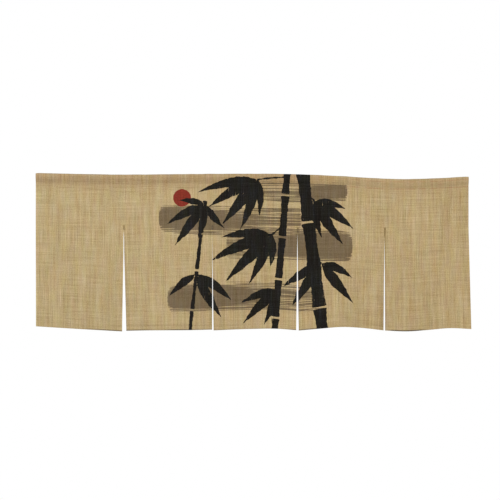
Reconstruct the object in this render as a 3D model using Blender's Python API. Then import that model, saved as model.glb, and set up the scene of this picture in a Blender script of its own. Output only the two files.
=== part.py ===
"""A noren: a short doorway curtain of five flaps, hanging from an empty rod pocket.

Metres, +Z up, +X to the right as seen from the front, and the front faces -Y.
The origin is the middle of the top edge, where the pocket goes over its rod.
"""

import bmesh
import bpy
import numpy as np

# Cloth
CLOTH = 0.0015           # thickness of one layer
HEM = 0.0025             # thickness where an edge is turned to the back and stitched
SIDE_HEM = 0.009         # width of the hem down each side and each slit
BOTTOM_HEM = 0.020       # height of the hem along the bottom
HEM_STEP = 0.001         # run over which a hem thins to one layer
GAP = 0.0003             # between the cloth and the pocket it is sewn to

# Rod pocket
POCKET = 0.041           # from the top edge down to its bottom edge
TAIL = 0.004             # the flat part under the pocket's stitches
TIP = 0.001              # clear depth at the very bottom of the pocket
POCKET_SIDES = 14        # points around the pocket's opening
POCKET_SPANS = 36        # lengths the pocket is divided into along the rod

# Mesh of the hanging cloth
FLAP_SPANS = 8           # columns between the two hems of a flap
UPPER_SPANS = 4          # rows from the pocket down to the slits
LOWER_SPANS = 9          # rows from the slits down to the bottom hem

# The top edge dips to the right: height against place along the rod
TOP_EDGE = {
    "x": (-0.85, -0.56, -0.20, 0.0, 0.12, 0.36, 0.47, 0.60, 0.74, 0.85),
    "z": (0.003, -0.003, -0.001, 0.0, -0.001, -0.010, -0.017, -0.021, -0.017, -0.010),
}

# The empty pocket stands open by uneven amounts: its clear depth along the rod
POCKET_OPEN = {
    "x": (-0.85, -0.45, -0.10, 0.30, 0.60, 0.85),
    "depth": (0.022, 0.018, 0.021, 0.018, 0.020, 0.022),
}

# The two sides and the four slits, at the height of the slits' top ends.
# Forward is how far the cloth stands out from the pocket's middle plane there.
LINES = {
    "x": (-0.8495, -0.505, -0.158, 0.176, 0.517, 0.847),
    "z": (-0.201, -0.203, -0.203, -0.213, -0.213, -0.206),
    "forward": (0.004, -0.002, 0.003, -0.003, 0.004, -0.001),
}

# The flaps at the bottom, from left to right: the places of their two side edges, then
# the hem's height and how far forward it hangs, at five even places across each flap.
FLAPS = (
    {
        "left": -0.8480, "right": -0.5112,
        "z": (-0.598, -0.603, -0.609, -0.614, -0.618),
        "forward": (0.010, 0.019, -0.002, -0.012, 0.007),
    },
    {
        "left": -0.4947, "right": -0.1590,
        "z": (-0.616, -0.614, -0.613, -0.613, -0.6115),
        "forward": (-0.009, 0.006, 0.020, 0.004, -0.011),
    },
    {
        "left": -0.1520, "right": 0.1705,
        "z": (-0.614, -0.611, -0.6085, -0.607, -0.613),
        "forward": (0.006, -0.010, -0.005, 0.017, 0.008),
    },
    {
        "left": 0.1820, "right": 0.5125,
        "z": (-0.615, -0.607, -0.6005, -0.605, -0.6145),
        "forward": (-0.006, 0.013, 0.016, -0.006, -0.012),
    },
    {
        "left": 0.5210, "right": 0.8565,
        "z": (-0.6145, -0.618, -0.613, -0.6055, -0.6085),
        "forward": (0.009, 0.002, -0.012, 0.003, 0.016),
    },
)
ACROSS_FLAP = (0.0, 0.25, 0.5, 0.75, 1.0)
SWAY = 1.3               # above 1, a flap's waves gather towards its bottom edge

FLAP_WIDTH = (LINES["x"][-1] - LINES["x"][0]) / len(FLAPS)
UPPER = -POCKET - LINES["z"][0]
LOWER = LINES["z"][0] - FLAPS[0]["z"][0]

# Colours of the two pieces, linear
CLOTH_COLOUR = (0.473, 0.363, 0.190, 1.0)
HEADING_COLOUR = (0.400, 0.290, 0.148, 1.0)
ROUGHNESS = 0.9


def curve_at(place, places, values):
    """Reads a smooth curve that passes through each value at its place."""
    slopes = np.gradient(values, places)
    i = min(max(int(np.searchsorted(places, place)) - 1, 0), len(places) - 2)
    span = places[i + 1] - places[i]
    t = (place - places[i]) / span
    ends = values[i] * (1 + 2 * t) * (1 - t) ** 2 + values[i + 1] * t * t * (3 - 2 * t)
    return ends + span * t * (1 - t) * (slopes[i] * (1 - t) - slopes[i + 1] * t)


def between(start, end, part):
    return start + (end - start) * part


def top_edge(x):
    return curve_at(x, TOP_EDGE["x"], TOP_EDGE["z"])


def slit_row(flap, across):
    """The cloth at the height of the slits' top ends, as x, z and how far forward."""
    lines = tuple(range(len(LINES["x"])))
    x = between(LINES["x"][flap], LINES["x"][flap + 1], across)
    z = between(LINES["z"][flap], LINES["z"][flap + 1], across)
    return np.array((x, z, curve_at(flap + across, lines, LINES["forward"])))


def bottom_row(flap, across):
    """The cloth's bottom edge, as x, z and how far forward."""
    row = FLAPS[flap]
    x = between(row["left"], row["right"], across)
    z = curve_at(across, ACROSS_FLAP, row["z"])
    return np.array((x, z, curve_at(across, ACROSS_FLAP, row["forward"])))


def hanging(flap, across, down):
    """The front of the hanging cloth.

    Across runs from 0 to 1 over one flap. Down runs from 0 at the pocket to 1 at the
    slits' top ends, and on to 2 at the bottom edge.
    """
    middle = slit_row(flap, across)
    if down <= 1:
        start = np.array((middle[0], top_edge(middle[0]) - POCKET - GAP, 0.0))
        x, z, forward = between(start, middle, down)
    else:
        end = bottom_row(flap, across)
        x, z, forward = between(middle, end, down - 1)
        forward = between(middle[2], end[2], (down - 1) ** SWAY)
    return x, -CLOTH - forward, z


def flap_columns():
    """Places across one flap: 0 at its left edge, 1 at its right, two lines to each hem."""
    hem = SIDE_HEM / FLAP_WIDTH
    plain = (SIDE_HEM + HEM_STEP) / FLAP_WIDTH
    return [0.0, hem, *np.linspace(plain, 1 - plain, FLAP_SPANS + 1), 1 - hem, 1.0]


def cloth_rows():
    """Places down the cloth: 0 at the pocket, 1 at the slits' top ends, 2 at the bottom."""
    plain = 2 - (BOTTOM_HEM + HEM_STEP) / LOWER
    upper = np.linspace(0.0, 1 - HEM_STEP / UPPER, UPPER_SPANS + 1)
    lower = np.linspace(1.0, plain, LOWER_SPANS + 1)
    return [*upper, *lower, 2 - BOTTOM_HEM / LOWER, 2.0]


def make_cloth():
    """One sheet, slit four times from the bottom, thicker along its hems."""
    columns = flap_columns()
    rows = cloth_rows()
    last_flap = len(FLAPS) - 1
    last_column = len(columns) - 1
    bm = bmesh.new()
    hems = bm.verts.layers.deform.verify()
    sheet = {}

    def point(flap, column, row):
        """One point of the sheet. Flaps share those on the line between them, above its slit."""
        line = flap * last_column + column
        key = (line, row, flap if rows[row] > 1 else None)
        if key not in sheet:
            sheet[key] = bm.verts.new(hanging(flap, columns[column], rows[row]))
            left, right = column < 2, column > last_column - 2
            outer = (left and flap == 0) or (right and flap == last_flap)
            by_slit = (left or right) and rows[row] >= 1
            if outer or by_slit or row > len(rows) - 3:
                sheet[key][hems][0] = 1.0
        return sheet[key]

    for flap in range(len(FLAPS)):
        for column in range(last_column):
            for row in range(len(rows) - 1):
                corners = ((column, row), (column, row + 1), (column + 1, row + 1), (column + 1, row))
                bm.faces.new([point(flap, *corner) for corner in corners])

    # The front of the cloth is modelled, and its thickness goes to the back
    cloth = add_object("cloth", bm, CLOTH_COLOUR)
    group = cloth.vertex_groups.new(name="hems")
    layer = cloth.modifiers.new("thickness", "SOLIDIFY")
    layer.thickness = HEM
    layer.offset = -1.0
    layer.use_even_offset = True
    layer.vertex_group = group.name
    layer.thickness_vertex_group = CLOTH / HEM


def pocket_ring(x):
    """The pocket's section at x: its outside and its opening, point for point, as y and z.

    The opening is a teardrop, widest at two thirds of its height, with a blunt tip below.
    """
    turns = np.linspace(0.0, 2 * np.pi, POCKET_SIDES + 1)[1:-1]
    bulge = np.sin(turns) * np.sin(turns / 2)
    depth = curve_at(x, POCKET_OPEN["x"], POCKET_OPEN["depth"]) * bulge / (2 * bulge.max())
    rise = (POCKET - CLOTH - TAIL) * (1 - np.cos(turns)) / 2
    opening = np.array([(TIP / 2, 0.0), *zip(depth, rise), (-TIP / 2, 0.0)])

    # The outside is one layer of cloth further out, and ends in a flat tail
    along = np.gradient(opening, axis=0)
    along /= np.linalg.norm(along, axis=1)[:, None]
    outside = opening + CLOTH * np.stack((along[:, 1], -along[:, 0]), axis=1)
    outside[0] = (CLOTH, -TAIL)
    outside[-1] = (-CLOTH, -TAIL)
    lift = (0.0, top_edge(x) - POCKET + TAIL)
    return outside + lift, opening + lift


def make_pocket():
    """A tube along the rod, open at both ends."""
    bm = bmesh.new()
    rings = []
    for x in np.linspace(LINES["x"][0], LINES["x"][-1], POCKET_SPANS + 1):
        outside, opening = pocket_ring(x)
        rings.append([[bm.verts.new((x, y, z)) for y, z in loop] for loop in (outside, opening)])
    count = len(rings[0][0])
    for near, far in zip(rings, rings[1:]):
        for i in range(count):
            j = (i + 1) % count
            bm.faces.new((near[0][i], far[0][i], far[0][j], near[0][j]))
            bm.faces.new((near[1][j], far[1][j], far[1][i], near[1][i]))
    for ring, last in ((rings[0], False), (rings[-1], True)):
        for i in range(count):
            j = (i + 1) % count
            corners = (ring[0][i], ring[0][j], ring[1][j], ring[1][i])
            bm.faces.new(corners[::-1] if last else corners)
    return add_object("rod_pocket", bm, HEADING_COLOUR)


def add_object(name, bm, colour):
    mesh = bpy.data.meshes.new(name)
    bmesh.ops.recalc_face_normals(bm, faces=bm.faces)
    bm.to_mesh(mesh)
    bm.free()
    mesh.shade_smooth()
    mesh.set_sharp_from_angle(angle=np.radians(40))
    material = bpy.data.materials.new(name)
    material.use_nodes = True
    shader = material.node_tree.nodes["Principled BSDF"]
    shader.inputs["Base Color"].default_value = colour
    shader.inputs["Roughness"].default_value = ROUGHNESS
    mesh.materials.append(material)
    piece = bpy.data.objects.new(name, mesh)
    bpy.context.collection.objects.link(piece)
    return piece


for old in list(bpy.data.objects):
    bpy.data.objects.remove(old)
make_cloth()
make_pocket()
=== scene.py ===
"""A noren doorway curtain: one straw-brown cloth of five flaps, hanging from its empty rod
pocket, with a brushed print of bamboo over bands of mist.

Metres, +Z up, and the front faces -Y. Flat places on the cloth are given as u, across from
its middle, and v, up from the bottom edge of the pocket.
"""

import math

import bmesh
import bpy
import numpy as np
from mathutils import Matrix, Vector, noise
from mathutils.bvhtree import BVHTree


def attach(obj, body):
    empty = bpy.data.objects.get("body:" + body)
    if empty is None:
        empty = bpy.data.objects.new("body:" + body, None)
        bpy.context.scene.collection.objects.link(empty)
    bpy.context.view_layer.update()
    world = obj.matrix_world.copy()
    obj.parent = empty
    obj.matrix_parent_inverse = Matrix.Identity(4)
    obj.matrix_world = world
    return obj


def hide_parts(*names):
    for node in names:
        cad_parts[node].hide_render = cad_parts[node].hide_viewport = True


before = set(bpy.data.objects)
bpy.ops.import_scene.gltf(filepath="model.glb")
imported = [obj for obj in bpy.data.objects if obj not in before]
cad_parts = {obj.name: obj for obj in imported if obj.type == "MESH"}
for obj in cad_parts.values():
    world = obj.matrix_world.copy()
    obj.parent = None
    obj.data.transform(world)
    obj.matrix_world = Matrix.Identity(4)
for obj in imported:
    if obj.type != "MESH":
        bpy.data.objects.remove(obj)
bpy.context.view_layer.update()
bpy.ops.object.select_all(action="DESELECT")

# Studio
# The curtain hangs at the height of a doorway over a pale floor, in soft white light.
# The camera stands level with its middle, straight in front, as the photograph was taken.
PHOTO_SIZE = 500            # pixels of the photograph, both ways
PIXEL = 0.00392             # metres of curtain to one of them
MIDDLE_PIXEL = (252.5, 173.7)   # where the photograph shows the middle of the top edge
CAMERA_DISTANCE = 9.0
FLOOR_HEIGHT = -1.9
FLOOR_RADIUS = 2.6
FLOOR_COLOUR = (0.82, 0.81, 0.79, 1.0)
FLOOR_ROUGHNESS = 0.7
WHITE = (1.0, 1.0, 1.0, 1.0)
SKY_LIGHT = 0.72            # strength of the light that the white backdrop gives
LAMPS = (
    {"place": (-1.5, -3.4, 1.9), "size": 2.2, "power": 88.0},
    {"place": (2.0, -3.6, 0.6), "size": 2.2, "power": 31.0},
)

view_x = (PHOTO_SIZE / 2 - MIDDLE_PIXEL[0]) * PIXEL
view_z = (MIDDLE_PIXEL[1] - PHOTO_SIZE / 2) * PIXEL
bpy.ops.object.camera_add(
    location=(view_x, -CAMERA_DISTANCE, view_z), rotation=(math.pi / 2, 0.0, 0.0)
)
camera = bpy.context.object
camera.data.lens = camera.data.sensor_width * CAMERA_DISTANCE / (PHOTO_SIZE * PIXEL)
bpy.context.scene.camera = camera
bpy.context.scene.view_settings.view_transform = "Standard"

# The backdrop shows pure white, and lights the curtain less than it shows
world = bpy.data.worlds.new("studio")
world.use_nodes = True
sky = world.node_tree.nodes["Background"]
sky.inputs["Color"].default_value = WHITE
seen = world.node_tree.nodes.new("ShaderNodeLightPath")
level = world.node_tree.nodes.new("ShaderNodeMapRange")
level.inputs["To Min"].default_value = SKY_LIGHT
level.inputs["To Max"].default_value = 1.0
world.node_tree.links.new(seen.outputs["Is Camera Ray"], level.inputs["Value"])
world.node_tree.links.new(level.outputs["Result"], sky.inputs["Strength"])
bpy.context.scene.world = world

for row in LAMPS:
    bpy.ops.object.light_add(type="AREA", location=row["place"])
    lamp = bpy.context.object
    lamp.data.size = row["size"]
    lamp.data.energy = row["power"]
    toward = Vector((view_x, 0.0, view_z)) - lamp.location
    lamp.rotation_euler = toward.to_track_quat("-Z", "Y").to_euler()

bpy.ops.mesh.primitive_circle_add(
    vertices=96, radius=FLOOR_RADIUS, fill_type="NGON", location=(0, 0, FLOOR_HEIGHT)
)
floor = bpy.context.object
floor.name = "floor"
floor_paint = bpy.data.materials.new("pale floor")
floor_paint.use_nodes = True
floor_shader = floor_paint.node_tree.nodes["Principled BSDF"]
floor_shader.inputs["Base Color"].default_value = FLOOR_COLOUR
floor_shader.inputs["Roughness"].default_value = FLOOR_ROUGHNESS
floor.data.materials.append(floor_paint)

# Cloth
# One wide piece of slubby linen-look cloth, slit four times from the bottom. Its sides, slits
# and bottom are turned to the back, and its top is folded over to the back and stitched
# down as the rod pocket.
CLOTH = 0.0006              # one layer
HEM = 0.0014                # an edge turned twice to the back
TAIL_EDGE = 0.0011          # the pocket's turned edge
SIDE_HEM = 0.009
BOTTOM_HEM = 0.020
STEP = 0.0006               # run over which a hem thins to one layer
FRONT = 0.0015              # how far the front stands before the pocket's middle plane
POCKET = 0.041
TAIL = 0.004                # the flat edge that the pocket's stitches go through
SEAM = 0.0025               # height of those stitches
FLAP_SPANS = 60             # columns between the two hems of a flap
LOWER_SPANS = 54            # rows from the slits' top ends down to the bottom hem
UPPER_SPANS = 22            # rows from the pocket down to the slits' top ends
POCKET_TURNS = 34           # steps round the pocket

# The top edge dips to the right: its height, and how deep the pocket stands open, along x
TOP_EDGE = {
    "x": (-0.85, -0.56, -0.20, 0.0, 0.12, 0.36, 0.47, 0.60, 0.74, 0.85),
    "z": (0.003, -0.003, -0.001, 0.0, -0.001, -0.010, -0.017, -0.021, -0.017, -0.010),
}
POCKET_OPEN = {
    "x": (-0.85, -0.45, -0.10, 0.30, 0.60, 0.85),
    "depth": (0.022, 0.018, 0.021, 0.018, 0.020, 0.022),
}
# The two sides and the four slits, at the height of the slits' top ends
LINES = {
    "x": (-0.8495, -0.505, -0.158, 0.176, 0.517, 0.847),
    "z": (-0.201, -0.203, -0.203, -0.213, -0.213, -0.206),
    "forward": (0.004, -0.002, 0.003, -0.003, 0.004, -0.001),
}
# The flaps at the bottom: their side edges, then how high the hem is and how far forward it
# hangs, at five even places across each flap
FLAPS = (
    {
        "left": -0.8480, "right": -0.5112,
        "z": (-0.598, -0.603, -0.609, -0.614, -0.618),
        "forward": (0.010, 0.019, -0.002, -0.012, 0.007),
    },
    {
        "left": -0.4947, "right": -0.1590,
        "z": (-0.616, -0.614, -0.613, -0.613, -0.6115),
        "forward": (-0.009, 0.006, 0.020, 0.004, -0.011),
    },
    {
        "left": -0.1520, "right": 0.1705,
        "z": (-0.614, -0.611, -0.6085, -0.607, -0.613),
        "forward": (0.006, -0.010, -0.005, 0.017, 0.008),
    },
    {
        "left": 0.1820, "right": 0.5125,
        "z": (-0.615, -0.607, -0.6005, -0.605, -0.6145),
        "forward": (-0.006, 0.013, 0.016, -0.006, -0.012),
    },
    {
        "left": 0.5210, "right": 0.8565,
        "z": (-0.6145, -0.618, -0.613, -0.6055, -0.6085),
        "forward": (0.009, 0.002, -0.012, 0.003, 0.016),
    },
)
# How wide each slit gapes at these depths under its top end, where its bar tack shuts it
SLIT_DEPTHS = (0.0, 0.02, 0.035, 0.09, 0.14, 0.19, 0.25, 0.31, 0.36, 0.41)
SLIT_GAPS = (
    (0.0, 0.0, 0.0012, 0.0025, 0.0043, 0.0066, 0.0093, 0.0122, 0.0143, 0.0160),
    (0.0, 0.0, 0.0001, 0.0005, 0.0009, 0.0022, 0.0028, 0.0039, 0.0053, 0.0066),
    (0.0, 0.0, 0.0004, 0.0022, 0.0030, 0.0037, 0.0053, 0.0067, 0.0090, 0.0108),
    (0.0, 0.0, 0.0000, 0.0008, 0.0016, 0.0028, 0.0034, 0.0040, 0.0047, 0.0052),
)
SLIT_REACH = 0.06           # how far into a flap its edge is drawn towards the slit
# Creases, each between places in u and v: above 0 a soft ridge, below 0 a trough
CREASES = (
    {"from": (-0.775, 0.00), "to": (-0.770, -0.50), "height": -0.0022, "width": 0.018},
    {"from": (-0.690, -0.10), "to": (-0.705, -0.42), "height": -0.0016, "width": 0.015},
    {"from": (-0.610, -0.04), "to": (-0.600, -0.38), "height": 0.0020, "width": 0.022},
    {"from": (-0.509, -0.16), "to": (-0.455, 0.00), "height": -0.0014, "width": 0.012},
    {"from": (-0.509, -0.16), "to": (-0.570, -0.02), "height": -0.0012, "width": 0.012},
    {"from": (-0.425, -0.02), "to": (-0.430, -0.36), "height": 0.0020, "width": 0.024},
    {"from": (-0.365, -0.20), "to": (-0.372, -0.52), "height": -0.0018, "width": 0.018},
    {"from": (-0.170, -0.16), "to": (-0.230, -0.01), "height": -0.0013, "width": 0.012},
    {"from": (-0.045, -0.05), "to": (-0.035, -0.46), "height": -0.0018, "width": 0.020},
    {"from": (0.090, -0.10), "to": (0.085, -0.50), "height": 0.0018, "width": 0.022},
    {"from": (0.170, -0.16), "to": (0.225, 0.00), "height": -0.0013, "width": 0.012},
    {"from": (0.300, -0.06), "to": (0.312, -0.44), "height": -0.0018, "width": 0.020},
    {"from": (0.405, -0.02), "to": (0.400, -0.34), "height": 0.0020, "width": 0.020},
    {"from": (0.509, -0.16), "to": (0.455, -0.01), "height": -0.0014, "width": 0.012},
    {"from": (0.509, -0.16), "to": (0.565, 0.00), "height": -0.0012, "width": 0.012},
    {"from": (0.640, -0.03), "to": (0.632, -0.48), "height": 0.0018, "width": 0.022},
    {"from": (0.745, -0.14), "to": (0.752, -0.50), "height": -0.0020, "width": 0.020},
)
CREASE_OVERRUN = 0.05       # how far a crease runs on past its ends
CREASE_FADE = 0.07          # how far inside them it is at its full height
# Uneven folds and dents: their height, how many come to a metre both ways, and their pattern
FOLDS = {"height": 0.0016, "across": 9, "down": 1.4, "pattern": 1.0}
FOLDS_GROW = 0.2            # depth under the pocket at which those folds are full
DENTS = {"height": 0.0007, "across": 24, "down": 7, "pattern": 2.0}
# Puckers along the stitches, which reach so far to both sides of their row
POCKET_PUCKERS = {"height": 0.0007, "across": 70, "down": 12, "pattern": 3.0, "reach": 0.018}
BOTTOM_PUCKERS = {"height": 0.0009, "across": 42, "down": 10, "pattern": 4.0, "reach": 0.022}
SIDE_PUCKERS = {"height": 0.0008, "across": 10, "down": 40, "pattern": 5.0, "reach": 0.014}
CURL = {"height": 0.0016, "reach": 0.008}   # how far side edges curl to the back
ACROSS_FLAP = (0.0, 0.25, 0.5, 0.75, 1.0)
SWAY = 1.3                  # above 1, a flap's waves gather towards its bottom edge
POCKET_NECK = 0.08          # how gently the pocket widens above its stitches
POCKET_TRIM = 0.77          # brings its outside to about the depth it stands open
FLAP_WIDTH = (LINES["x"][-1] - LINES["x"][0]) / len(FLAPS)
UPPER = -POCKET - LINES["z"][0]
LOWER = LINES["z"][0] - FLAPS[0]["z"][0]


def curve_at(place, places, values):
    """Reads a smooth curve that passes through each value at its place."""
    slopes = np.gradient(values, places)
    i = min(max(int(np.searchsorted(places, place)) - 1, 0), len(places) - 2)
    span = places[i + 1] - places[i]
    t = (place - places[i]) / span
    ends = values[i] * (1 + 2 * t) * (1 - t) ** 2 + values[i + 1] * t * t * (3 - 2 * t)
    return ends + span * t * (1 - t) * (slopes[i] * (1 - t) - slopes[i + 1] * t)


def near(distance, reach):
    """1 on a line, falling softly to 0 past its reach."""
    return math.exp(-((distance / reach) ** 2))


def smooth(value, low, high):
    """0 below low, 1 above high, and a soft step between."""
    t = min(max((value - low) / (high - low), 0.0), 1.0)
    return t * t * (3 - 2 * t)


def crease(u, v):
    """The listed creases: soft ridges and troughs, each along its own line."""
    height = 0.0
    for row in CREASES:
        (u0, v0), (u1, v1) = row["from"], row["to"]
        run = math.hypot(u1 - u0, v1 - v0)
        along = ((u - u0) * (u1 - u0) + (v - v0) * (v1 - v0)) / run
        across = ((u - u0) * (v1 - v0) - (v - v0) * (u1 - u0)) / run
        on_line = -CREASE_OVERRUN < along < run + CREASE_OVERRUN
        if on_line and abs(across) < 3 * row["width"]:
            ends = smooth(along, -CREASE_OVERRUN, CREASE_FADE)
            ends *= 1 - smooth(along, run - CREASE_FADE, run + CREASE_OVERRUN)
            height += row["height"] * near(across, row["width"]) * ends
    return height


def rumple(look, u, v):
    """Uneven folds, dents or puckers, by their row of sizes."""
    return look["height"] * noise.noise((u * look["across"], v * look["down"], look["pattern"]))


def ripple(u, v, from_edge):
    """How far the cloth stands off its main folds: creases, and puckers along stitches."""
    folds = crease(u, v)
    folds += rumple(FOLDS, u, v) * min(1.0, max(0.0, -v) / FOLDS_GROW)
    folds += rumple(DENTS, u, v)
    above_hem = v + UPPER + LOWER - BOTTOM_HEM
    pocket = rumple(POCKET_PUCKERS, u, v) * near(v - SEAM, POCKET_PUCKERS["reach"])
    bottom = rumple(BOTTOM_PUCKERS, u, v) * near(above_hem, BOTTOM_PUCKERS["reach"])
    sides = rumple(SIDE_PUCKERS, u, v) * near(from_edge - SIDE_HEM, SIDE_PUCKERS["reach"])
    curl = CURL["height"] * near(from_edge, CURL["reach"])
    return folds + pocket + bottom + sides - curl


def drawn_in(flap, across, down):
    """How far a flap's side edge is drawn to the middle of the slit beside it."""
    shift = 0.0
    for slit, side, distance in ((flap - 1, "left", across), (flap, "right", 1 - across)):
        if 0 <= slit < len(SLIT_GAPS):
            middle = (FLAPS[slit]["right"] + FLAPS[slit + 1]["left"]) / 2
            straight = (middle - FLAPS[flap][side]) * (down - 1)
            gap = curve_at((down - 1) * LOWER, SLIT_DEPTHS, SLIT_GAPS[slit])
            wanted = math.copysign(gap / 2, straight)
            shift += (straight - wanted) * max(0.0, 1 - distance * FLAP_WIDTH / SLIT_REACH)
    return shift


def hanging(flap, across, down):
    """The front of the cloth under the pocket. Down is 0 at the pocket, 1 at the slits' top
    ends and 2 at the bottom edge, and the flat place comes with the hanging one."""
    line = LINES["x"]
    x = line[flap] + (line[flap + 1] - line[flap]) * across
    z = LINES["z"][flap] + (LINES["z"][flap + 1] - LINES["z"][flap]) * across
    forward = curve_at(flap + across, range(len(line)), LINES["forward"])
    u = (flap + across - len(FLAPS) / 2) * FLAP_WIDTH
    if down <= 1:
        start_z = curve_at(x, TOP_EDGE["x"], TOP_EDGE["z"]) - POCKET
        v = -down * UPPER
        z = start_z + (z - start_z) * down
        forward = forward * down
    else:
        row = FLAPS[flap]
        end_x = row["left"] + (row["right"] - row["left"]) * across
        end_z = curve_at(across, ACROSS_FLAP, row["z"])
        end_forward = curve_at(across, ACROSS_FLAP, row["forward"])
        v = -UPPER - (down - 1) * LOWER
        x = x + (end_x - x) * (down - 1) + drawn_in(flap, across, down)
        z = z + (end_z - z) * (down - 1)
        forward = forward + (end_forward - forward) * (down - 1) ** SWAY
    outer = (flap == 0 and across < 0.5) or (flap == len(FLAPS) - 1 and across > 0.5)
    from_edge = min(across, 1 - across) * FLAP_WIDTH if outer or down > 1 else math.inf
    forward += ripple(u, v, from_edge)
    return Vector((x, -FRONT - forward, z)), (u, v)


def pocket_section(depth):
    """The pocket's outside: up the front from its tail, over the crest and down the back, as
    y and z above the tail. It is a teardrop, widest at two thirds of its height."""
    turns = np.linspace(0.0, 2 * np.pi, 400)
    rise = (1 - np.cos(turns)) / 2
    belly = depth * rise ** 2 / (rise + POCKET_NECK) / POCKET_TRIM
    y = -np.cos(turns / 2) * (FRONT + belly)
    path = np.stack((y, (POCKET - TAIL) * rise), axis=1)
    path = np.concatenate((path, [(FRONT, -TAIL)]))
    length = np.concatenate(([0.0], np.cumsum(np.linalg.norm(np.diff(path, axis=0), axis=1))))
    steps = np.linspace(0.0, length[-1], POCKET_TURNS + 1)
    even = np.stack([np.interp(steps, length, side) for side in path.T], axis=1)
    along = np.gradient(even, axis=0)
    along /= np.linalg.norm(along, axis=1)[:, None]
    return even, np.stack((-along[:, 1], along[:, 0]), axis=1), steps + TAIL


sections = {}


def round_pocket(flap, across, turn):
    """A point of the pocket, by its place round the section, with its flat place."""
    line = LINES["x"]
    x = line[flap] + (line[flap + 1] - line[flap]) * across
    u = (flap + across - len(FLAPS) / 2) * FLAP_WIDTH
    if x not in sections:
        sections[x] = pocket_section(curve_at(x, POCKET_OPEN["x"], POCKET_OPEN["depth"]))
    path, out, heights = sections[x]
    from_edge = min(flap + across, len(FLAPS) - flap - across) * FLAP_WIDTH
    y, z = path[turn] + out[turn] * ripple(u, heights[turn], from_edge)
    top = curve_at(x, TOP_EDGE["x"], TOP_EDGE["z"])
    return Vector((x, y, top - POCKET + TAIL + z)), (u, heights[turn])


hem = SIDE_HEM / FLAP_WIDTH
plain = (SIDE_HEM + STEP) / FLAP_WIDTH
columns = [0.0, hem, *np.linspace(plain, 1 - plain, FLAP_SPANS + 1), 1 - hem, 1.0]
hem_down = 2 - BOTTOM_HEM / LOWER
plain_down = 2 - (BOTTOM_HEM + STEP) / LOWER
downs = [2.0, (2 + hem_down) / 2, hem_down, *np.linspace(plain_down, 1.0, LOWER_SPANS + 1)]
downs += list(np.linspace(1 - STEP / UPPER, 0.0, UPPER_SPANS + 1))
rows = [("down", down) for down in downs]
rows += [("turn", turn) for turn in range(POCKET_TURNS + 1)]
HEM_COLUMNS = 2             # of the columns, those in each side hem
HEM_ROWS = 3                # of the rows, those in the bottom hem
TAIL_ROWS = 2               # and those in the pocket's turned edge

bm = bmesh.new()
weights = bm.verts.layers.deform.verify()
flat_map = bm.loops.layers.uv.new("flat cloth")
points = {}
flat_places = {}


def sheet_point(flap, column, row):
    """One point of the sheet. Flaps share those on the line between them, above its slit."""
    way, place = rows[row]
    slit = way == "down" and place > 1
    key = (flap * (len(columns) - 1) + column, row, flap if slit else None)
    if key not in points:
        make = hanging if way == "down" else round_pocket
        at, flat = make(flap, columns[column], place)
        points[key] = bm.verts.new(at)
        flat_places[points[key]] = flat
        left, right = column < HEM_COLUMNS, column >= len(columns) - HEM_COLUMNS
        outer = (left and flap == 0) or (right and flap == len(FLAPS) - 1)
        by_slit = (left or right) and place >= 1
        if way == "down" and (outer or by_slit or row < HEM_ROWS):
            points[key][weights][0] = 1.0
        elif row >= len(rows) - TAIL_ROWS:
            points[key][weights][0] = (TAIL_EDGE - CLOTH) / (HEM - CLOTH)
    return points[key]


for flap in range(len(FLAPS)):
    for column in range(len(columns) - 1):
        for row in range(len(rows) - 1):
            corners = ((column, row), (column + 1, row), (column + 1, row + 1), (column, row + 1))
            face = bm.faces.new([sheet_point(flap, *corner) for corner in corners])
            face.smooth = True
            for loop in face.loops:
                loop[flat_map].uv = flat_places[loop.vert]

cloth_mesh = bpy.data.meshes.new("noren_cloth")
bm.to_mesh(cloth_mesh)
bm.free()
cloth = bpy.data.objects.new("noren_cloth", cloth_mesh)
bpy.context.collection.objects.link(cloth)
cloth.vertex_groups.new(name="hems")
cloth.data.materials.append(None)       # the front's slot, filled below
cloth.data.materials.append(None)       # the back's
bpy.context.view_layer.objects.active = cloth
layers = cloth.modifiers.new("layers", "SOLIDIFY")
layers.thickness = HEM
layers.offset = -1.0
layers.vertex_group = "hems"
layers.thickness_vertex_group = CLOTH / HEM
layers.material_offset = 1
bpy.ops.object.modifier_apply(modifier="layers")
cloth.data.set_sharp_from_angle(angle=math.radians(40))

# Shader parts, which the cloth's materials are the first to use


def feed(tree, socket, value):
    """Links another node's socket to this one, or sets it to a plain value."""
    if isinstance(value, bpy.types.NodeSocket):
        tree.links.new(value, socket)
    else:
        socket.default_value = value


def add(tree, kind, inputs=(), **settings):
    """Adds a shader node, with its inputs given by name."""
    node = tree.nodes.new("ShaderNode" + kind)
    for name, value in settings.items():
        setattr(node, name, value)
    for name, value in dict(inputs).items():
        feed(tree, node.inputs[name], value)
    return node


def calc(tree, operation, *values):
    """One step of arithmetic on numbers."""
    node = add(tree, "Math", operation=operation)
    for socket, value in zip(node.inputs, values):
        feed(tree, socket, value)
    return node.outputs[0]


def ramp(tree, value, low, high, start=0.0, end=1.0):
    """A soft step from start to end, as a value goes from low to high."""
    inputs = {"Value": value, "From Min": low, "From Max": high, "To Min": start, "To Max": end}
    return add(tree, "MapRange", inputs, interpolation_type="SMOOTHSTEP").outputs[0]


def product(tree, *masks):
    """Several masks multiplied together."""
    whole = masks[0]
    for mask in masks[1:]:
        whole = calc(tree, "MULTIPLY", whole, mask)
    return whole


def soft_line(tree, value, middle, core, reach, strength=1.0):
    """A line where a value is near its middle: at full strength in its core, 0 past its reach."""
    away = calc(tree, "ABSOLUTE", calc(tree, "SUBTRACT", value, middle))
    return ramp(tree, away, core, reach, strength, 0.0)


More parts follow.
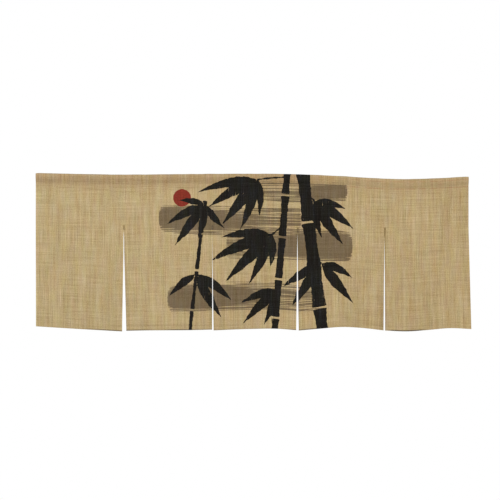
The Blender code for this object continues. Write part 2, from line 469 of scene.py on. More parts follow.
def paint(tree, factor, under, over, blend="MIX"):
    """Lays one colour over another. A Mix node's colour sockets are found by their order."""
    node = add(tree, "Mix", data_type="RGBA", blend_type=blend)
    for socket, value in ((0, factor), (6, under), (7, over)):
        feed(tree, node.inputs[socket], value)
    return node.outputs[2]


def split(tree, vector):
    return add(tree, "SeparateXYZ", {"Vector": vector}).outputs


def new_group(name, inputs, outputs):
    """A shader node group, with its inner ends ready to link."""
    tree = bpy.data.node_groups.new(name, "ShaderNodeTree")
    for label, kind in inputs.items():
        tree.interface.new_socket(label, in_out="INPUT", socket_type="NodeSocket" + kind)
    for label in outputs:
        tree.interface.new_socket(label, in_out="OUTPUT", socket_type="NodeSocketFloat")
    start = tree.nodes.new("NodeGroupInput")
    end = tree.nodes.new("NodeGroupOutput")
    return tree, start.outputs, end.inputs


def soft_curve(tree, value, outline):
    """A curve through the given points, each from 0 to 1, read at a value."""
    node = add(tree, "FloatCurve", {"Value": value})
    curve = node.mapping.curves[0]
    curve.points[0].location = outline[0]
    curve.points[1].location = outline[-1]
    for point in outline[1:-1]:
        curve.points.new(*point)
    node.mapping.update()
    return node.outputs[0]


def place_group(tree, group, inputs):
    node = tree.nodes.new("ShaderNodeGroup")
    node.node_tree = group
    for name, value in inputs.items():
        feed(tree, node.inputs[name], value)
    return node.outputs


def streaks(tree, place, across, along, detail=2.0, shift=0.0):
    """Noise drawn out into streaks, from about -0.5 to 0.5. Across is the size of its grain
    in u, along is that in v, and each shift gives another pattern."""
    inputs = {"Vector": place, "Location": (shift, shift, 0.0), "Scale": (1 / across, 1 / along, 1.0)}
    scaled = add(tree, "Mapping", inputs).outputs[0]
    look = {"Vector": scaled, "Scale": 1.0, "Detail": detail, "Roughness": 0.55}
    grain = add(tree, "TexNoise", look, noise_dimensions="2D").outputs[0]
    return calc(tree, "SUBTRACT", grain, 0.5)


# The weave: fine crossed threads, with thick and thin yarns as streaks both ways. Dark yarns
# are yellower than pale ones, and some are a little greener or redder than others. The whole
# cloth's dye drifts a little too, from greener on the left to warmer on the right
THREAD_PITCH = 0.0009
YARNS = (                   # grain both ways, strength of tone, and how far they stand out
    {"across": 0.0042, "along": 0.310, "tone": 0.44, "raised": 2.0},
    {"across": 0.190, "along": 0.0038, "tone": 0.35, "raised": 2.0},
    {"across": 0.0015, "along": 0.080, "tone": 0.66, "raised": 1.5},
    {"across": 0.110, "along": 0.0015, "tone": 0.48, "raised": 1.5},
    {"across": 0.030, "along": 0.260, "tone": 0.20, "raised": 0.0},
    {"across": 0.160, "along": 0.200, "tone": 0.10, "raised": 0.0},
    {"across": 0.0032, "along": 0.0040, "tone": 0.58, "raised": 0.0},
)
DYES = {                    # patches of hue, and the power of the tone that it follows
    "Green": {"across": 0.024, "along": 0.110, "shift": 7.0, "strength": 0.20, "power": 0.12},
    "Yellow": {"across": 0.022, "along": 0.070, "shift": 3.0, "strength": -0.36, "power": 0.30},
}
DYE_DRIFT = -0.017          # change of both to each metre across
weave, given, gives = new_group(
    "linen weave", {"Place": "Vector"}, ("Tone", "Green", "Yellow", "Height")
)
u, v, _ = split(weave, given["Place"])
yarns = [streaks(weave, given["Place"], row["across"], row["along"]) for row in YARNS]
tone = 1.0
for row, yarn in zip(YARNS, yarns):
    tone = calc(weave, "MULTIPLY_ADD", yarn, row["tone"], tone)
feed(weave, gives["Tone"], tone)
for hue, row in DYES.items():
    patches = streaks(weave, given["Place"], row["across"], row["along"], shift=row["shift"])
    by_tone = calc(weave, "POWER", tone, row["power"])
    dye = calc(weave, "MULTIPLY_ADD", patches, row["strength"], by_tone)
    feed(weave, gives[hue], calc(weave, "MULTIPLY_ADD", u, DYE_DRIFT, dye))
warp = calc(weave, "SINE", calc(weave, "MULTIPLY", u, math.pi / THREAD_PITCH))
weft = calc(weave, "SINE", calc(weave, "MULTIPLY", v, math.pi / THREAD_PITCH))
over = calc(weave, "GREATER_THAN", calc(weave, "MULTIPLY", warp, weft), 0.0)
under = calc(weave, "SUBTRACT", 1.0, over)
warp_over = calc(weave, "MULTIPLY", calc(weave, "ABSOLUTE", warp), over)
weft_over = calc(weave, "MULTIPLY", calc(weave, "ABSOLUTE", weft), under)
height = calc(weave, "ADD", warp_over, weft_over)
for row, yarn in zip(YARNS, yarns):
    if row["raised"]:
        height = calc(weave, "MULTIPLY_ADD", yarn, row["raised"], height)
feed(weave, gives["Height"], height)

# Layers and painted light: where the cloth is double or triple it is painted darker, as painted
# shade for the light that passes through it less and for the shade under the pocket. Right of
# the middle the inner edge and the stitches of the pocket also show through, as two reddish
# lines. A slit's hem has a painted highlight on its left, and painted shade on its edge on its
# right. The bottom hem's folded edge turns under in places, and has a thin rim of painted shade there
TURN_IN = (0.013, 0.034)    # heights between which the pocket's turned edge lies inside
TURN_BLUR = (0.006, 0.005)  # how far its lower and upper sides blur
TURN_SHADE = 0.22
TWO_LAYERS = (-0.038, 0.014)    # heights over which the heading's shade comes in
TWO_LAYERS_SHADE = 0.75
HEADING_FADES = (0.18, 0.36)    # places in u over which it fades, down to its share on the right
HEADING_ON_RIGHT = 0.48
FINE_RAGS = {"across": 0.008, "along": 0.030}   # what makes these heights uneven
BROAD_RAGS = {"across": 0.060, "along": 0.9, "shift": 1.0}
FINE_RAG, BROAD_RAG = 0.050, 0.045      # and by how much
LINE_HEIGHTS = (SEAM - 0.001, TURN_IN[1] - 0.003)   # of the two reddish lines
LINE_CORE, LINE_REACH = 0.0008, 0.0026
LINES_COME = (0.27, 0.37)   # places in u over which they come in
LINE_BREAKS = {"across": 0.045, "along": 0.4, "shift": 2.0}     # what interrupts them
LINE_WHOLE = (-0.16, 0.06)  # from a gap to a whole line, in the streaks of these breaks
SLIT_TOP_BLUR = 0.005       # above and under a slit's top end
HIGHLIGHT_ENDS = (0.6, 1.1)      # shares of a slit hem's width over which its painted highlight ends
HIGHLIGHT_STRENGTH = 0.6
LEFT_HIGHLIGHT_END = 1.6         # the same for the cloth's left-hand hem, which has a painted highlight too
EDGE_SHADE = 0.0052         # width of the painted shade on the right-hand edge of a slit
EDGE_ENDS = (0.8, 1.2)      # shares of that width over which it ends
EDGE_COMES = (-0.4, 0.5)    # places in u over which it grows, from its share on the left
EDGE_ON_LEFT = 0.35
WIDTH = FLAP_WIDTH * len(FLAPS)
PAST_LEFT_HEM = (-0.48 * WIDTH, -0.45 * WIDTH)  # the cloth's left-hand hem has no such shade
RIM_CORE, RIM_REACH = 0.002, 0.006      # height of the thin rim of painted shade
TURNED_UNDER = (            # how much of the bottom edge shows as that rim, against u
    (-0.85, 0.05), (-0.71, 0.05), (-0.63, 0.45), (-0.55, 0.7), (-0.44, 0.65), (-0.38, 0.3),
    (-0.31, 0.8), (-0.22, 0.4), (0.10, 0.2), (0.21, 0.75), (0.28, 0.1), (0.50, 0.05),
    (0.54, 0.9), (0.61, 1.0), (0.66, 0.5), (0.70, 0.05), (0.85, 0.05),
)
FOLD_HEIGHT = BOTTOM_HEM - 0.001    # the bottom hem's inner edge shows faintly on the left, as a line of painted shade
FOLD_CORE, FOLD_REACH = 0.002, 0.006
FOLD_SHADE = 0.5
FOLD_RAG = 0.012
FOLD_COMES = (-0.60, -0.50)     # places in u over which it comes in, and over which it goes
FOLD_GOES = (-0.26, -0.12)
doubled_and_light, given, gives = new_group(
    "doubled cloth and painted light", {"Place": "Vector"}, ("Heading Shade", "Lines", "Hem Highlights", "Hem Shade", "Rim Shade")
)
u, v, _ = split(doubled_and_light, given["Place"])
fine = streaks(doubled_and_light, given["Place"], **FINE_RAGS)
broad = streaks(doubled_and_light, given["Place"], **BROAD_RAGS)
height = calc(doubled_and_light, "MULTIPLY_ADD", broad, BROAD_RAG, v)
height = calc(doubled_and_light, "MULTIPLY_ADD", fine, FINE_RAG, height)
turn_in = calc(
    doubled_and_light, "MULTIPLY",
    ramp(doubled_and_light, height, TURN_IN[0] - TURN_BLUR[0], TURN_IN[0] + TURN_BLUR[0]),
    ramp(doubled_and_light, height, TURN_IN[1] - TURN_BLUR[1], TURN_IN[1] + TURN_BLUR[1], 1.0, 0.0),
)
# Painted shade on the heading, for its doubled cloth and the shade under the pocket, stronger on the
# left
heading = calc(doubled_and_light, "MULTIPLY", ramp(doubled_and_light, height, *TWO_LAYERS), TWO_LAYERS_SHADE)
heading = calc(doubled_and_light, "MULTIPLY_ADD", turn_in, TURN_SHADE, heading)
fading = ramp(doubled_and_light, u, *HEADING_FADES, 1.0, HEADING_ON_RIGHT)
feed(doubled_and_light, gives["Heading Shade"], calc(doubled_and_light, "MULTIPLY", heading, fading))
lines = 0.0
for line_height in LINE_HEIGHTS:
    line = soft_line(doubled_and_light, v, line_height, LINE_CORE, LINE_REACH)
    lines = calc(doubled_and_light, "ADD", lines, line)
whole = ramp(doubled_and_light, streaks(doubled_and_light, given["Place"], **LINE_BREAKS), *LINE_WHOLE)
shown = calc(doubled_and_light, "MULTIPLY", whole, ramp(doubled_and_light, u, *LINES_COME))
feed(doubled_and_light, gives["Lines"], calc(doubled_and_light, "MULTIPLY", lines, shown))

# The hems beside each slit, by how far right of the line between two flaps a place is
from_line = calc(doubled_and_light, "FRACT", calc(doubled_and_light, "DIVIDE", u, FLAP_WIDTH))
from_line = calc(doubled_and_light, "SUBTRACT", from_line, 0.5)
left_side = calc(doubled_and_light, "LESS_THAN", from_line, 0.0)
right_side = calc(doubled_and_light, "SUBTRACT", 1.0, left_side)
from_line = calc(doubled_and_light, "MULTIPLY", calc(doubled_and_light, "ABSOLUTE", from_line), FLAP_WIDTH)
under_slit = ramp(doubled_and_light, v, -SLIT_TOP_BLUR - UPPER, SLIT_TOP_BLUR - UPPER, 1.0, 0.0)
# Painted highlight along the hem left of each slit, and along the cloth's left-hand hem
hem_highlight = ramp(doubled_and_light, from_line, SIDE_HEM * HIGHLIGHT_ENDS[0], SIDE_HEM * HIGHLIGHT_ENDS[1], HIGHLIGHT_STRENGTH, 0.0)
hem_highlight = product(doubled_and_light, hem_highlight, left_side, under_slit)
left_hem_highlight = ramp(doubled_and_light, u, -WIDTH / 2, SIDE_HEM * LEFT_HIGHLIGHT_END - WIDTH / 2, 1.0, 0.0)
feed(doubled_and_light, gives["Hem Highlights"], calc(doubled_and_light, "MAXIMUM", hem_highlight, left_hem_highlight))
# Painted shade along the edge right of each slit
slit_shade = ramp(doubled_and_light, from_line, EDGE_SHADE * EDGE_ENDS[0], EDGE_SHADE * EDGE_ENDS[1], 1.0, 0.0)
slit_shade = product(
    doubled_and_light, slit_shade, right_side, under_slit, ramp(doubled_and_light, u, *PAST_LEFT_HEM),
    ramp(doubled_and_light, u, *EDGE_COMES, EDGE_ON_LEFT, 1.0),
)

# The bottom hem, by the height above the bottom edge: its rim and inner edge get painted shade
from_bottom = calc(doubled_and_light, "ADD", v, UPPER + LOWER)
across = calc(doubled_and_light, "ADD", calc(doubled_and_light, "DIVIDE", u, WIDTH), 0.5)
turned_under = soft_curve(doubled_and_light, across, [(x / WIDTH + 0.5, y) for x, y in TURNED_UNDER])
# Painted shade: a thin dark rim where the bottom hem's folded edge turns under
rim_shade = ramp(doubled_and_light, from_bottom, RIM_CORE, RIM_REACH, 1.0, 0.0)
feed(doubled_and_light, gives["Rim Shade"], calc(doubled_and_light, "MULTIPLY", rim_shade, turned_under))
fold = calc(doubled_and_light, "MULTIPLY_ADD", fine, FOLD_RAG, from_bottom)
fold = product(
    doubled_and_light, soft_line(doubled_and_light, fold, FOLD_HEIGHT, FOLD_CORE, FOLD_REACH, FOLD_SHADE),
    ramp(doubled_and_light, u, *FOLD_GOES, 1.0, 0.0), ramp(doubled_and_light, u, *FOLD_COMES),
)
feed(doubled_and_light, gives["Hem Shade"], calc(doubled_and_light, "MAXIMUM", slit_shade, fold))

# The print: ink bamboo over bands of mist and a plain sun, brushed over the middle flaps.
# Places are u and v, and turns are in degrees, counted from u towards v
BRUSHES = {                 # how full a stroke is at places along it, both as shares
    "blade": (
        (0, 0), (0.06, 0.22), (0.2, 0.74), (0.38, 1), (0.6, 0.82), (0.82, 0.4), (1, 0),
    ),
    "cane": (
        (0, 0), (0.02, 1), (0.08, 0.96), (0.3, 0.84), (0.7, 0.84), (0.92, 0.96), (0.98, 1), (1, 0),
    ),
    "band": (
        (0, 0), (0.012, 0.7), (0.05, 0.94), (0.3, 1), (0.75, 0.96), (0.985, 0.8), (1, 0),
    ),
}
CANES = (                   # joints are shares of a cane's length
    {
        "foot": (0.268, -0.60), "head": (0.190, 0.06), "width": 0.056,
        "joints": (0.0, 0.19, 0.44, 0.70, 1.0),
    },
    {
        "foot": (0.078, -0.60), "head": (0.130, 0.06), "width": 0.032,
        "joints": (0.0, 0.13, 0.36, 0.61, 0.85, 1.0),
    },
    {
        "foot": (-0.262, -0.60), "head": (-0.196, -0.06), "width": 0.016,
        "joints": (0.0, 0.22, 0.50, 0.76, 1.0),
    },
)
JOINT_GAP = 0.007           # bare cloth between two lengths of a cane
LEAVES = (
    {"root": (0.012, 0.020), "blades": (
        {"turn": 192, "length": 0.240, "width": 0.038, "bow": 0.6},
        {"turn": 209, "length": 0.224, "width": 0.042, "bow": 0.4},
        {"turn": 231, "length": 0.225, "width": 0.044, "bow": 0.0},
        {"turn": 250, "length": 0.205, "width": 0.038, "bow": -0.3},
        {"turn": 272, "length": 0.140, "width": 0.030, "bow": -0.5},
    )},
    {"root": (0.070, -0.190), "blades": (
        {"turn": 184, "length": 0.205, "width": 0.036, "bow": 0.6},
        {"turn": 203, "length": 0.270, "width": 0.046, "bow": 0.4},
        {"turn": 224, "length": 0.265, "width": 0.046, "bow": 0.1},
        {"turn": 244, "length": 0.215, "width": 0.040, "bow": -0.2},
        {"turn": 266, "length": 0.130, "width": 0.030, "bow": -0.4},
    )},
    {"root": (0.095, -0.405), "blades": (
        {"turn": 198, "length": 0.160, "width": 0.032, "bow": 0.4},
        {"turn": 222, "length": 0.190, "width": 0.038, "bow": 0.2},
        {"turn": 247, "length": 0.150, "width": 0.032, "bow": -0.2},
    )},
    {"root": (0.235, -0.060), "blades": (
        {"turn": -12, "length": 0.125, "width": 0.030, "bow": -0.5},
        {"turn": -34, "length": 0.185, "width": 0.040, "bow": -0.3},
        {"turn": -56, "length": 0.200, "width": 0.040, "bow": 0.1},
        {"turn": -78, "length": 0.140, "width": 0.032, "bow": 0.4},
    )},
    {"root": (0.262, -0.300), "blades": (
        {"turn": -26, "length": 0.135, "width": 0.034, "bow": -0.5},
        {"turn": -52, "length": 0.200, "width": 0.042, "bow": 0.1},
        {"turn": 212, "length": 0.175, "width": 0.036, "bow": 0.4},
        {"turn": 236, "length": 0.200, "width": 0.040, "bow": 0.2},
    )},
    {"root": (-0.196, -0.080), "blades": (
        {"turn": 170, "length": 0.105, "width": 0.025, "bow": 0.5},
        {"turn": 207, "length": 0.165, "width": 0.034, "bow": 0.4},
        {"turn": 233, "length": 0.195, "width": 0.038, "bow": 0.1},
        {"turn": 258, "length": 0.140, "width": 0.030, "bow": -0.3},
        {"turn": -50, "length": 0.115, "width": 0.028, "bow": 0.4},
    )},
    {"root": (-0.232, -0.345), "blades": (
        {"turn": 218, "length": 0.130, "width": 0.031, "bow": 0.4},
        {"turn": -36, "length": 0.170, "width": 0.036, "bow": -0.4},
        {"turn": -60, "length": 0.190, "width": 0.038, "bow": 0.2},
    )},
)
TWIGS = (
    {"from": (0.118, 0.030), "to": (0.008, 0.020)},
    {"from": (0.112, -0.150), "to": (0.068, -0.190)},
    {"from": (0.100, -0.395), "to": (0.094, -0.406)},
    {"from": (0.196, -0.020), "to": (0.237, -0.060)},
    {"from": (0.236, -0.270), "to": (0.262, -0.300)},
)
TWIG_WIDTH = 0.007
MIST = (
    {"from": (-0.375, -0.130), "turn": 0, "length": 0.56, "width": 0.112, "bow": 0.20},
    {"from": (0.385, -0.235), "turn": 180, "length": 0.50, "width": 0.126, "bow": 0.15},
    {"from": (-0.345, -0.440), "turn": 0, "length": 0.62, "width": 0.110, "bow": -0.20},
    {"from": (0.365, -0.020), "turn": 180, "length": 0.36, "width": 0.080, "bow": -0.25},
)
SUN = {"middle": (-0.285, -0.052), "radius": 0.034}
# The inks, in the order in which they are laid: how far the weave's tone shows in each, how
# far its brushed edge wanders, and the depths inside a stroke between which it comes up
INKS = (
    {
        "part": "Mist", "colour": (0.152, 0.109, 0.060, 1.0), "weave": 1.0,
        "wander": 0.004, "comes": (-0.0005, 0.0007),
    },
    {
        "part": "Sun", "colour": (0.187, 0.025, 0.014, 1.0), "weave": 1.2,
        "wander": 0.004, "comes": (-0.0004, 0.0004),
    },
    {
        "part": "Ink", "colour": (0.0103, 0.0090, 0.0067, 1.0), "weave": 3.0,
        "wander": 0.008, "comes": (-0.0004, 0.0004),
    },
)
EDGE_GRAIN = 0.020
FLECKS = {"across": 0.0022, "along": 0.05, "shift": 4.0}    # worn specks in the ink
FLECKS_COME = (0.20, 0.30)
FLECK_DEPTH = 0.02
WEAR = {"across": 0.07, "along": 0.12}      # and the patches in which they lie
WEAR_COMES = (0.02, 0.12)
BRISTLES = {"across": 0.30, "along": 0.0034}    # bare lines where a band runs dry
BRISTLES_PART = (-0.06, 0.16)
BRISTLE_SHIFT = 90          # to each metre of width, so that no two bands are alike
DRY_FROM = 0.28             # share of a band's length from which it runs dry
DRY_DEPTH = (0.017, 0.080)  # how far inside a band its bare lines reach, at first and at its end
BOW_PEAK = 4                # with it, a bow of 1 puts a stroke's middle half its width aside
NOWHERE = -1.0              # the depth of a place far outside every stroke

brushes = {}
for brush, outline in BRUSHES.items():
    inputs = {
        "Place": "Vector", "Start": "Vector", "Turn": "Vector", "Size": "Vector", "Bow": "Float",
    }
    tree, given, gives = new_group(brush + " stroke", inputs, ("Along", "Depth"))
    laying = {
        "Vector": given["Place"], "Location": given["Start"],
        "Rotation": given["Turn"], "Scale": given["Size"],
    }
    laid = add(tree, "Mapping", laying, vector_type="TEXTURE")
    along, across, _ = split(tree, laid.outputs[0])
    bowed = calc(tree, "SUBTRACT", along, calc(tree, "MULTIPLY", along, along))
    across = calc(tree, "ABSOLUTE", calc(tree, "MULTIPLY_ADD", bowed, given["Bow"], across))
    depth = calc(tree, "SUBTRACT", soft_curve(tree, along, outline), across)
    feed(tree, gives["Along"], along)
    feed(tree, gives["Depth"], calc(tree, "MULTIPLY", depth, split(tree, given["Size"])[1]))
    brushes[brush] = tree


def stroke(tree, place, brush, start, turn, length, width, bow=0.0):
    """One brush stroke: how far along it a place is, and how deep inside, in metres."""
    inputs = {
        "Place": place, "Start": (*start, 0.0), "Turn": (0.0, 0.0, math.radians(turn)),
        "Size": (length, width / 2, 1.0), "Bow": bow * BOW_PEAK,
    }
    return place_group(tree, brushes[brush], inputs)


def stroke_between(tree, place, brush, start, end, width):
    run = Vector(end) - Vector(start)
    turn = math.degrees(math.atan2(run.y, run.x))
    return stroke(tree, place, brush, start, turn, run.length, width)


brushed, given, gives = new_group("brushed print", {"Place": "Vector"}, ("Ink", "Mist", "Sun"))
place = given["Place"]
ink = NOWHERE
for row in CANES:
    foot, head = Vector(row["foot"]), Vector(row["head"])
    gap = JOINT_GAP / (head - foot).length / 2
    for low, high in zip(row["joints"], row["joints"][1:]):
        start, end = foot.lerp(head, low + gap), foot.lerp(head, high - gap)
        cane = stroke_between(brushed, place, "cane", start, end, row["width"])
        ink = calc(brushed, "MAXIMUM", ink, cane["Depth"])
for row in TWIGS:
    twig = stroke_between(brushed, place, "cane", row["from"], row["to"], TWIG_WIDTH)
    ink = calc(brushed, "MAXIMUM", ink, twig["Depth"])
for row in LEAVES:
    for blade in row["blades"]:
        leaf = stroke(brushed, place, "blade", row["root"], **blade)
        ink = calc(brushed, "MAXIMUM", ink, leaf["Depth"])
flecks = ramp(brushed, streaks(brushed, place, **FLECKS), *FLECKS_COME, 0.0, FLECK_DEPTH)
worn = ramp(brushed, streaks(brushed, place, **WEAR), *WEAR_COMES)
ink = calc(brushed, "SUBTRACT", ink, calc(brushed, "MULTIPLY", flecks, worn))
mist = NOWHERE
for row in MIST:
    band = stroke(
        brushed, place, "band", row["from"], row["turn"], row["length"], row["width"], row["bow"]
    )
    bristles = streaks(brushed, place, **BRISTLES, shift=row["width"] * BRISTLE_SHIFT)
    gaps = ramp(brushed, bristles, *BRISTLES_PART)
    dry = ramp(brushed, band["Along"], DRY_FROM, 1.0, *DRY_DEPTH)
    wet = calc(brushed, "SUBTRACT", band["Depth"], calc(brushed, "MULTIPLY", gaps, dry))
    mist = calc(brushed, "MAXIMUM", mist, wet)
from_sun = add(brushed, "VectorMath", operation="DISTANCE")
feed(brushed, from_sun.inputs[0], place)
feed(brushed, from_sun.inputs[1], (*SUN["middle"], 0.0))
sun = calc(brushed, "SUBTRACT", SUN["radius"], from_sun.outputs["Value"])
rough = streaks(brushed, place, EDGE_GRAIN, EDGE_GRAIN, detail=2.5)
for row, depth in zip(INKS, (mist, sun, ink)):
    depth = calc(brushed, "MULTIPLY_ADD", rough, row["wander"], depth)
    feed(brushed, gives[row["part"]], ramp(brushed, depth, *row["comes"]))

CLOTH_COLOUR = (0.402, 0.301, 0.155, 1.0)
TINTS = {                   # what doubled cloth and each painted shade or highlight do to the colour
    "Heading Shade": (0.84, 0.775, 0.77, 1.0),
    "Lines": (0.93, 0.80, 0.78, 1.0),
    "Hem Highlights": (1.11, 1.11, 1.12, 1.0),
    "Hem Shade": (0.82, 0.80, 0.78, 1.0),
    "Rim Shade": (0.20, 0.21, 0.26, 1.0),
}
CLOTH_ROUGHNESS = 0.9
CLOTH_SHINE = 0.12          # specular level
WEAVE_DEPTH = 0.0003        # of the threads' relief
BACK_PRINT = 0.6            # how far the print shows through to the back


def print_over(tree, colour, place, tone, strength):
    """Lays the print's inks over a colour. The tone below shows through them."""
    printed = place_group(tree, brushed, {"Place": place})
    for ink in INKS:
        shown = add(tree, "Gamma", {"Color": tone, "Gamma": ink["weave"]}).outputs[0]
        inked = paint(tree, 1.0, shown, ink["colour"], "MULTIPLY")
        cover = calc(tree, "MULTIPLY", printed[ink["part"]], strength)
        colour = paint(tree, cover, colour, inked)
    return colour


def cloth_finish(name, print_strength):
    """The cloth's finish, with its print. Less of the print shows on the back."""
    material = bpy.data.materials.new(name)
    material.use_nodes = True
    tree = material.node_tree
    shader = tree.nodes["Principled BSDF"]
    place = add(tree, "UVMap", uv_map="flat cloth").outputs[0]
    woven = place_group(tree, weave, {"Place": place})
    layers_and_light = place_group(tree, doubled_and_light, {"Place": place})
    green = calc(tree, "MULTIPLY", woven["Tone"], woven["Green"])
    blue = calc(tree, "MULTIPLY", green, woven["Yellow"])
    tone = add(tree, "CombineXYZ", {"X": woven["Tone"], "Y": green, "Z": blue}).outputs[0]
    colour = paint(tree, 1.0, CLOTH_COLOUR, tone, "MULTIPLY")
    for mark, tint in TINTS.items():
        colour = paint(tree, layers_and_light[mark], colour, tint, "MULTIPLY")
    colour = print_over(tree, colour, place, tone, print_strength)
    feed(tree, shader.inputs["Base Color"], colour)
    shader.inputs["Roughness"].default_value = CLOTH_ROUGHNESS
    shader.inputs["Specular IOR Level"].default_value = CLOTH_SHINE
    relief = {"Height": woven["Height"], "Strength": 0.5, "Distance": WEAVE_DEPTH}
    raised = add(tree, "Bump", relief)
    feed(tree, shader.inputs["Normal"], raised.outputs[0])
    return material


cloth.data.materials[0] = cloth_finish("noren front", 1.0)
cloth.data.materials[1] = cloth_finish("noren back", BACK_PRINT)
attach(cloth, "root")
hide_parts("cloth", "rod_pocket")

# Stitches
# Brown sewing thread, in rows of short stitches under the pocket, along the bottom hems and
# down every side and slit hem. Each stitch shows on the front and on the back of the cloth.
STITCH = {"length": 0.0032, "width": 0.00045, "height": 0.0004}
STITCH_ROUNDING = 0.35      # of its ends, as a share of its width
STITCH_PITCH = 0.004
STITCH_INSET = 0.002        # from a hem's inner edge
UNDER_TOP = 1.01            # where a slit's rows start, just under its top end at 1
THREAD_COLOUR = (0.30, 0.21, 0.11, 1.0)
THREAD_ROUGHNESS = 0.7
FIBRES = {"Scale": 900.0, "Detail": 2.0}    # the thread's fuzz, in tone and in relief
FIBRE_TONES = (0.75, 1.25)
FIBRE_DEPTH = 0.0002

bpy.ops.object.select_all(action="DESELECT")
bpy.ops.mesh.primitive_cylinder_add(
    vertices=6, radius=STITCH["width"] / 2, depth=STITCH["length"], rotation=(0, math.pi / 2, 0)
)
one_stitch = bpy.context.object
bpy.ops.object.transform_apply(location=False, rotation=True, scale=False)
bpy.ops.object.mode_set(mode="EDIT")
thread = bmesh.from_edit_mesh(one_stitch.data)
for face in thread.faces:
    is_end = abs(face.normal.x) > 0.9
    face.select_set(is_end)
bmesh.update_edit_mesh(one_stitch.data)
bpy.ops.mesh.bevel(offset=STITCH["width"] * STITCH_ROUNDING, segments=1, affect="EDGES")
bpy.ops.mesh.select_all(action="SELECT")
bpy.ops.transform.resize(value=(1.0, 1.0, STITCH["height"] / STITCH["width"]))
bpy.ops.object.mode_set(mode="OBJECT")
stitch_points = np.array([vertex.co for vertex in one_stitch.data.vertices])
stitch_faces = [list(face.vertices) for face in one_stitch.data.polygons]
stitch_corners = sum(len(face) for face in stitch_faces)
bpy.data.objects.remove(one_stitch)
cloth_faces = BVHTree.FromObject(cloth, bpy.context.evaluated_depsgraph_get())


def through(x, z, side):
    """Where the cloth's face is, seen from the front (-1) or the back (1), and its normal."""
    at, normal, _, _ = cloth_faces.ray_cast(Vector((x, side, z)), Vector((0.0, -side, 0.0)))
    return at, normal


def thread_finish(name, colour):
    """Fuzzy twisted thread, printed over together with the cloth."""
    material = bpy.data.materials.new(name)
    material.use_nodes = True
    tree = material.node_tree
    shader = tree.nodes["Principled BSDF"]
    at = add(tree, "TexCoord").outputs["Object"]
    fibre = add(tree, "TexNoise", {"Vector": at, **FIBRES}).outputs[0]
    level = ramp(tree, fibre, 0.2, 0.8, *FIBRE_TONES)
    tone = add(tree, "CombineXYZ", {"X": level, "Y": level, "Z": level}).outputs[0]
    colour = paint(tree, 1.0, colour, tone, "MULTIPLY")
    place = add(tree, "UVMap", uv_map="flat cloth").outputs[0]
    colour = print_over(tree, colour, place, tone, 1.0)
    feed(tree, shader.inputs["Base Color"], colour)
    shader.inputs["Roughness"].default_value = THREAD_ROUGHNESS
    raised = add(tree, "Bump", {"Height": fibre, "Strength": 0.4, "Distance": FIBRE_DEPTH})
    feed(tree, shader.inputs["Normal"], raised.outputs[0])
    return material


def sew(name, stitches, material):
    """Joins copies of the stitch into one piece, each at its own place and turn."""
    places, faces, flats = [], [], []
    for stitch_at, along, normal, stretch, flat in stitches:
        along = (along - along.dot(normal) * normal).normalized()
        turn = np.array((along * stretch, normal.cross(along), normal))
        first = len(places) * len(stitch_points)
        faces += [[corner + first for corner in face] for face in stitch_faces]
        places.append(stitch_points @ turn + np.array(stitch_at))
        flats.append(np.tile(flat, (stitch_corners, 1)))
    mesh = bpy.data.meshes.new(name)
    mesh.from_pydata(np.concatenate(places).tolist(), [], faces)
    mesh.uv_layers.new(name="flat cloth").data.foreach_set("uv", np.concatenate(flats).ravel())
    mesh.shade_smooth()
    mesh.materials.append(material)
    piece = bpy.data.objects.new(name, mesh)
    bpy.context.collection.objects.link(piece)
    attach(piece, "root")
    return piece


def along_row(row):
    """Stitches along a row of places on the front, and again on the back."""
    stitches = []
    for (before, _), (here, flat), (after, _) in zip(row, row[1:], row[2:]):
        for side in (-1, 1):
            at, normal = through(here.x, here.z, side)
            stitches.append((at, after - before, normal, 1.0, flat))
    return stitches


def even_steps(start, end, length):
    return np.linspace(start, end, round(length / STITCH_PITCH) + 1)


brown_thread = thread_finish("brown thread", THREAD_COLOUR)
seam = []
for x in even_steps(LINES["x"][0], LINES["x"][-1], WIDTH):
    z = curve_at(x, TOP_EDGE["x"], TOP_EDGE["z"]) - POCKET + SEAM
    seam.append((Vector((x, 0.0, z)), (x, SEAM)))
pocket_stitches = sew("pocket_stitches", along_row(seam), brown_thread)

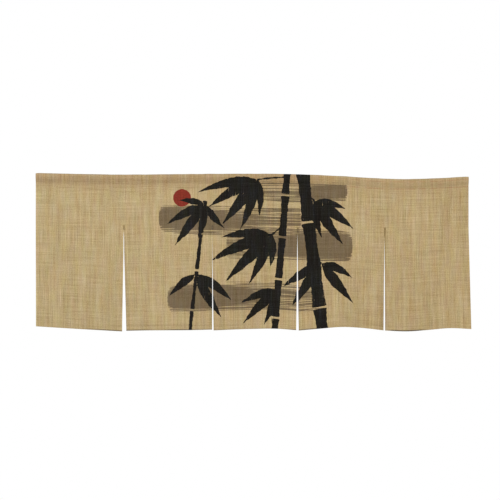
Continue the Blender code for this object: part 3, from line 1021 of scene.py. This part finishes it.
side_row = (SIDE_HEM - STITCH_INSET) / FLAP_WIDTH
bottom_row = 2 - (BOTTOM_HEM - STITCH_INSET) / LOWER
bottom, sides = [], []
for flap in range(len(FLAPS)):
    steps = even_steps(side_row, 1 - side_row, FLAP_WIDTH - 2 * SIDE_HEM)
    bottom += along_row([hanging(flap, across, bottom_row) for across in steps])
    for across, is_end in ((side_row, flap == 0), (1 - side_row, flap == len(FLAPS) - 1)):
        steps = even_steps(UNDER_TOP, bottom_row, LOWER)
        if is_end:
            steps = [*even_steps(0.0, 1.0, UPPER), *steps]
        sides += along_row([hanging(flap, across, down) for down in steps])
bottom_hem_stitches = sew("bottom_hem_stitches", bottom, brown_thread)
side_hem_stitches = sew("side_hem_stitches", sides, brown_thread)

# Bar tacks
# Short ladders of dense stitches in a darker thread, which lock the top end of each slit so
# that it doesn't tear. Each is worked through the two hems that meet there.
TACKS = (                   # how far right of the slit, how tall, and thread to thread
    {"aside": 0.0010, "height": 0.018, "pitch": 0.00108},
    {"aside": 0.0010, "height": 0.018, "pitch": 0.00062},
    {"aside": 0.0015, "height": 0.019, "pitch": 0.00062},
    {"aside": 0.0018, "height": 0.034, "pitch": 0.00056},
)
TACK_WIDTH = 0.0072
TACK_ABOVE = 0.001          # how far a tack starts above its slit
TACK_PADDING = 0.00025      # how far its threads stand off the cloth
TACK_COLOUR = (0.310, 0.210, 0.080, 1.0)

tacks = []
for slit_x, slit_z, tack in zip(LINES["x"][1:-1], LINES["z"][1:-1], TACKS):
    for i in range(round(tack["height"] / tack["pitch"])):
        x = slit_x + tack["aside"]
        z = slit_z + TACK_ABOVE - i * tack["pitch"]
        for side in (-1, 1):
            left, left_normal = through(x - TACK_WIDTH / 2, z, side)
            right, right_normal = through(x + TACK_WIDTH / 2, z, side)
            normal = (left_normal + right_normal).normalized()
            middle = (left + right) / 2 + normal * TACK_PADDING
            slant = Vector((0.0, 0.0, tack["pitch"] / 2 * (-1) ** i))
            flat = (x, -UPPER + z - slit_z)
            tacks.append((middle, right - left + slant, normal, TACK_WIDTH / STITCH["length"], flat))
bar_tacks = sew("bar_tacks", tacks, thread_finish("dark thread", TACK_COLOUR))
